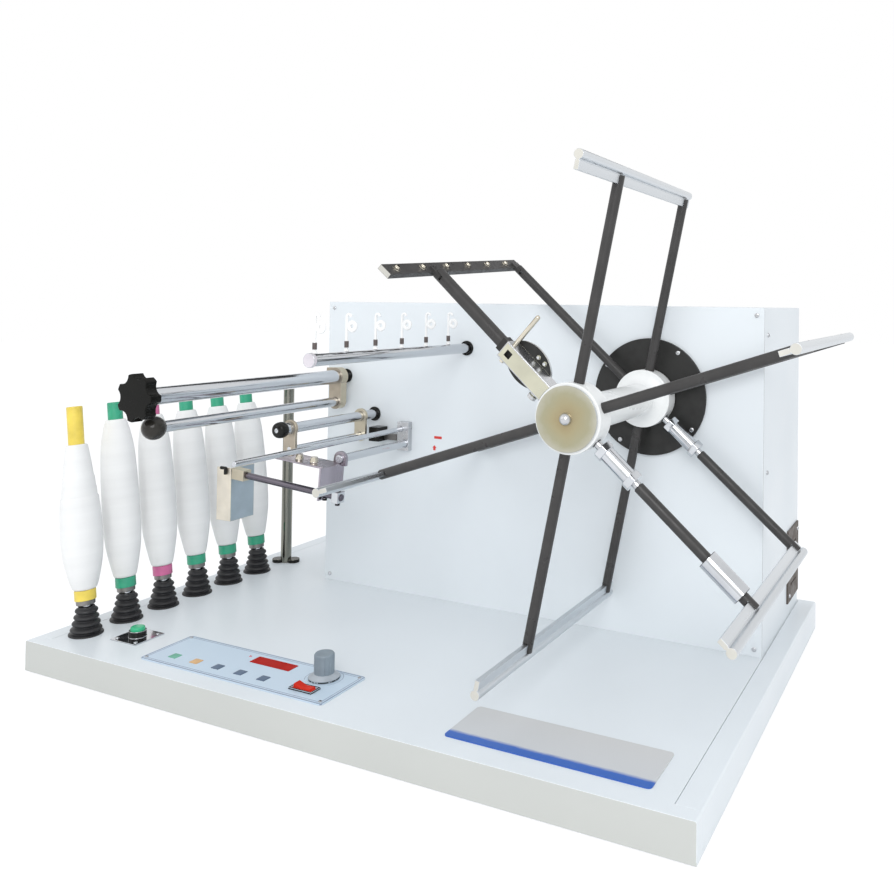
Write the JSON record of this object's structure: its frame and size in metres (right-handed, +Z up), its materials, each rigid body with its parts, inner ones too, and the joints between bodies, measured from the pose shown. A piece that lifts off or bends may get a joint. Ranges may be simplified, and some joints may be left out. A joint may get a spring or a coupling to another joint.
{
  "type": "yarn wrap reel",
  "caption": "Motor-driven wrap reel: open hub with arms and crossbars on a cabinet, bobbin stands, thread guides, tension rods and a control panel on a flat base.",
  "frame": {"origin": "middle of the base's resting face, on the table", "axes": "+Z up, +X from the bobbins toward the reel, +Y from the operator toward the back of the cabinet"},
  "size_m": [0.8086, 0.5325, 0.5223],
  "materials": {
    "white_paint": "satin",
    "black_paint": "satin",
    "bright_steel": "polished",
    "brushed_steel": "brushed",
    "aluminium": "satin",
    "zinc_plate": "zinc plated",
    "brass": "brushed",
    "black_plastic": "satin",
    "black_rubber": "matte",
    "dark_brown": "matte",
    "grey_plastic": "satin",
    "panel_film": "satin",
    "red_plastic": "gloss",
    "green_plastic": "gloss",
    "orange_key": "satin",
    "blue_key": "satin",
    "red_display": "gloss",
    "bobbin": "wound yarn on a plastic tube",
    "ceramic": "gloss",
    "machine_grey": "painted"
  },
  "bodies": {
    "cabinet": {"base_plate": "white_paint", "base_cover": "white_paint", "side_rails": "white_paint", "front_panel": "white_paint", "cabinet_cover": "white_paint", "panel_screws": "bright_steel", "vent_plate": "dark_brown", "shaft_plate": "black_paint", "gear_motor": "machine_grey", "traverse_block": "machine_grey", "push_plate": "brushed_steel", "control_panel": "panel_film", "display_window": "red_display", "nameplate": "brushed_steel", "bellows_mounts": "black_rubber", "spindles": "bright_steel", "rod_bushes": "black_plastic", "guide_bars": "bright_steel", "guide_pillar": "bright_steel"},
    "tension": {"tension_rod": "bright_steel", "link_block": "zinc_plate", "lower_rod": "bright_steel", "ball_knob": "black_plastic"},
    "star": {"star_knob": "black_plastic"},
    "roller": {"roller_rod": "bright_steel", "roller_frame": "brushed_steel"},
    "clamp_knob": {"rod_knob": "black_plastic"},
    "lever": {"lever_plate": "brushed_steel", "cross_shaft": "bright_steel", "hanger_plate": "brushed_steel"},
    "guide": {"guide_tube": "bright_steel", "thread_guides": "ceramic"},
    "push": {"push_button": "green_plastic"},
    "speed": {"speed_knob": "grey_plastic"},
    "switch": {"rocker": "red_plastic"},
    "key_1": {"key_1": "green_plastic"},
    "key_2": {"key_2": "orange_key"},
    "key_3": {"key_3": "blue_key"},
    "key_4": {"key_4": "blue_key"},
    "key_5": {"key_5": "blue_key"},
    "bobbin_1": {"bobbin_1": "bobbin"},
    "bobbin_2": {"bobbin_2": "bobbin"},
    "bobbin_3": {"bobbin_3": "bobbin"},
    "bobbin_4": {"bobbin_4": "bobbin"},
    "bobbin_5": {"bobbin_5": "bobbin"},
    "bobbin_6": {"bobbin_6": "bobbin"},
    "reel": {"reel_shaft": "bright_steel", "reel_hub": "white_paint", "hub_disc": "brass", "fixed_arms": "black_paint", "crossbars": "aluminium", "release_bracket": "zinc_plate"},
    "coupler_front": {"coupler_front": "bright_steel"},
    "coupler_rear": {"coupler_rear": "bright_steel"},
    "adjust": {"adjust_arms": "black_paint", "adjust_bar": "aluminium"},
    "release": {"release_arm": "black_paint"},
    "latch": {"latch_rod": "bright_steel"},
    "clip": {"clip_bar": "black_paint"}
  },
  "joints": [
    {"name": "reel_spin", "type": "hinge", "parent": "cabinet", "child": "reel", "pos_m": [0.222, 0, 0.298], "axis": [0, 1, 0], "continuous": true},
    {"name": "release_slide", "type": "slide", "parent": "reel", "child": "release", "axis": [-0.742, 0, 0.6704], "range_m": [0, 0.018]},
    {"name": "clip_bar_tilt", "type": "hinge", "parent": "reel", "child": "clip", "pos_m": [0.0673, 0.0325, 0.43778], "axis": [-0.6704, 0, -0.742], "range_deg": [0, 5.46]},
    {"name": "latch_pull", "type": "slide", "parent": "reel", "child": "latch", "axis": [0.6704, 0, 0.742], "range_m": [0, 0.012], "stiffness_N_per_m": 150},
    {"name": "girth_adjust", "type": "slide", "parent": "reel", "child": "adjust", "axis": [0.7524, 0, -0.6587], "range_m": [-0.004, 0.004]},
    {"name": "coupler_front_turn", "type": "hinge", "parent": "reel", "child": "coupler_front", "pos_m": [0.26639, -0.157, 0.25914], "axis": [0.7524, 0, -0.6587], "range_deg": [-580, 580]},
    {"name": "coupler_rear_turn", "type": "hinge", "parent": "reel", "child": "coupler_rear", "pos_m": [0.26639, 0.0325, 0.25914], "axis": [0.7524, 0, -0.6587], "range_deg": [-580, 580]},
    {"name": "guide_traverse", "type": "slide", "parent": "cabinet", "child": "guide", "axis": [0, 1, 0], "range_m": [-0.01, 0.01]},
    {"name": "tension_swing", "type": "hinge", "parent": "cabinet", "child": "tension", "pos_m": [-0.1977, 0, 0.3014], "axis": [0, 1, 0], "range_deg": [-25, 25]},
    {"name": "star_knob_turn", "type": "hinge", "parent": "tension", "child": "star", "pos_m": [-0.1977, -0.271, 0.3014], "axis": [0, 1, 0], "range_deg": [-90, 90]},
    {"name": "roller_swing", "type": "hinge", "parent": "cabinet", "child": "roller", "pos_m": [-0.1516, 0, 0.2546], "axis": [0, 1, 0], "range_deg": [-15, 15]},
    {"name": "rod_knob_turn", "type": "hinge", "parent": "roller", "child": "clamp_knob", "pos_m": [-0.1516, -0.12, 0.2546], "axis": [0, 1, 0], "range_deg": [-90, 90]},
    {"name": "lever_swing", "type": "hinge", "parent": "cabinet", "child": "lever", "pos_m": [-0.1, -0.078, 0.221], "axis": [0, 1, 0], "range_deg": [-8, 1.5]},
    {"name": "push_travel", "type": "slide", "parent": "cabinet", "child": "push", "axis": [0, 0, -1], "range_m": [0, 0.0025], "stiffness_N_per_m": 400},
    {"name": "speed_turn", "type": "hinge", "parent": "cabinet", "child": "speed", "pos_m": [-0.023, -0.1925, 0.0332], "axis": [0, 0, 1], "range_deg": [-150, 150]},
    {"name": "rocker_tilt", "type": "hinge", "parent": "cabinet", "child": "switch", "pos_m": [-0.023, -0.2205, 0.034], "axis": [0, 1, 0], "range_deg": [-14, 0]},
    {"name": "key_1_press", "type": "slide", "parent": "cabinet", "child": "key_1", "axis": [0, 0, -1], "range_m": [0, 0.0005], "stiffness_N_per_m": 800},
    {"name": "key_2_press", "type": "slide", "parent": "cabinet", "child": "key_2", "axis": [0, 0, -1], "range_m": [0, 0.0005], "stiffness_N_per_m": 800},
    {"name": "key_3_press", "type": "slide", "parent": "cabinet", "child": "key_3", "axis": [0, 0, -1], "range_m": [0, 0.0005], "stiffness_N_per_m": 800},
    {"name": "key_4_press", "type": "slide", "parent": "cabinet", "child": "key_4", "axis": [0, 0, -1], "range_m": [0, 0.0005], "stiffness_N_per_m": 800},
    {"name": "key_5_press", "type": "slide", "parent": "cabinet", "child": "key_5", "axis": [0, 0, -1], "range_m": [0, 0.0005], "stiffness_N_per_m": 800},
    {"name": "bobbin_1_lift", "type": "slide", "parent": "cabinet", "child": "bobbin_1", "axis": [-0.1219, 0, 0.9925], "range_m": [0, 0.076]},
    {"name": "bobbin_2_lift", "type": "slide", "parent": "cabinet", "child": "bobbin_2", "axis": [-0.1219, 0, 0.9925], "range_m": [0, 0.076]},
    {"name": "bobbin_3_lift", "type": "slide", "parent": "cabinet", "child": "bobbin_3", "axis": [-0.1219, 0, 0.9925], "range_m": [0, 0.076]},
    {"name": "bobbin_4_lift", "type": "slide", "parent": "cabinet", "child": "bobbin_4", "axis": [-0.1219, 0, 0.9925], "range_m": [0, 0.076]},
    {"name": "bobbin_5_lift", "type": "slide", "parent": "cabinet", "child": "bobbin_5", "axis": [-0.1219, 0, 0.9925], "range_m": [0, 0.076]},
    {"name": "bobbin_6_lift", "type": "slide", "parent": "cabinet", "child": "bobbin_6", "axis": [-0.1219, 0, 0.9925], "range_m": [0, 0.076]}
  ],
  "couplings": [
    {"joint": "clip_bar_tilt", "follows": "release_slide", "rad_per_m": 5.285},
    {"joint": "coupler_front_turn", "follows": "girth_adjust", "rad_per_m": 2513.3},
    {"joint": "coupler_rear_turn", "follows": "girth_adjust", "rad_per_m": 2513.3}
  ]
}
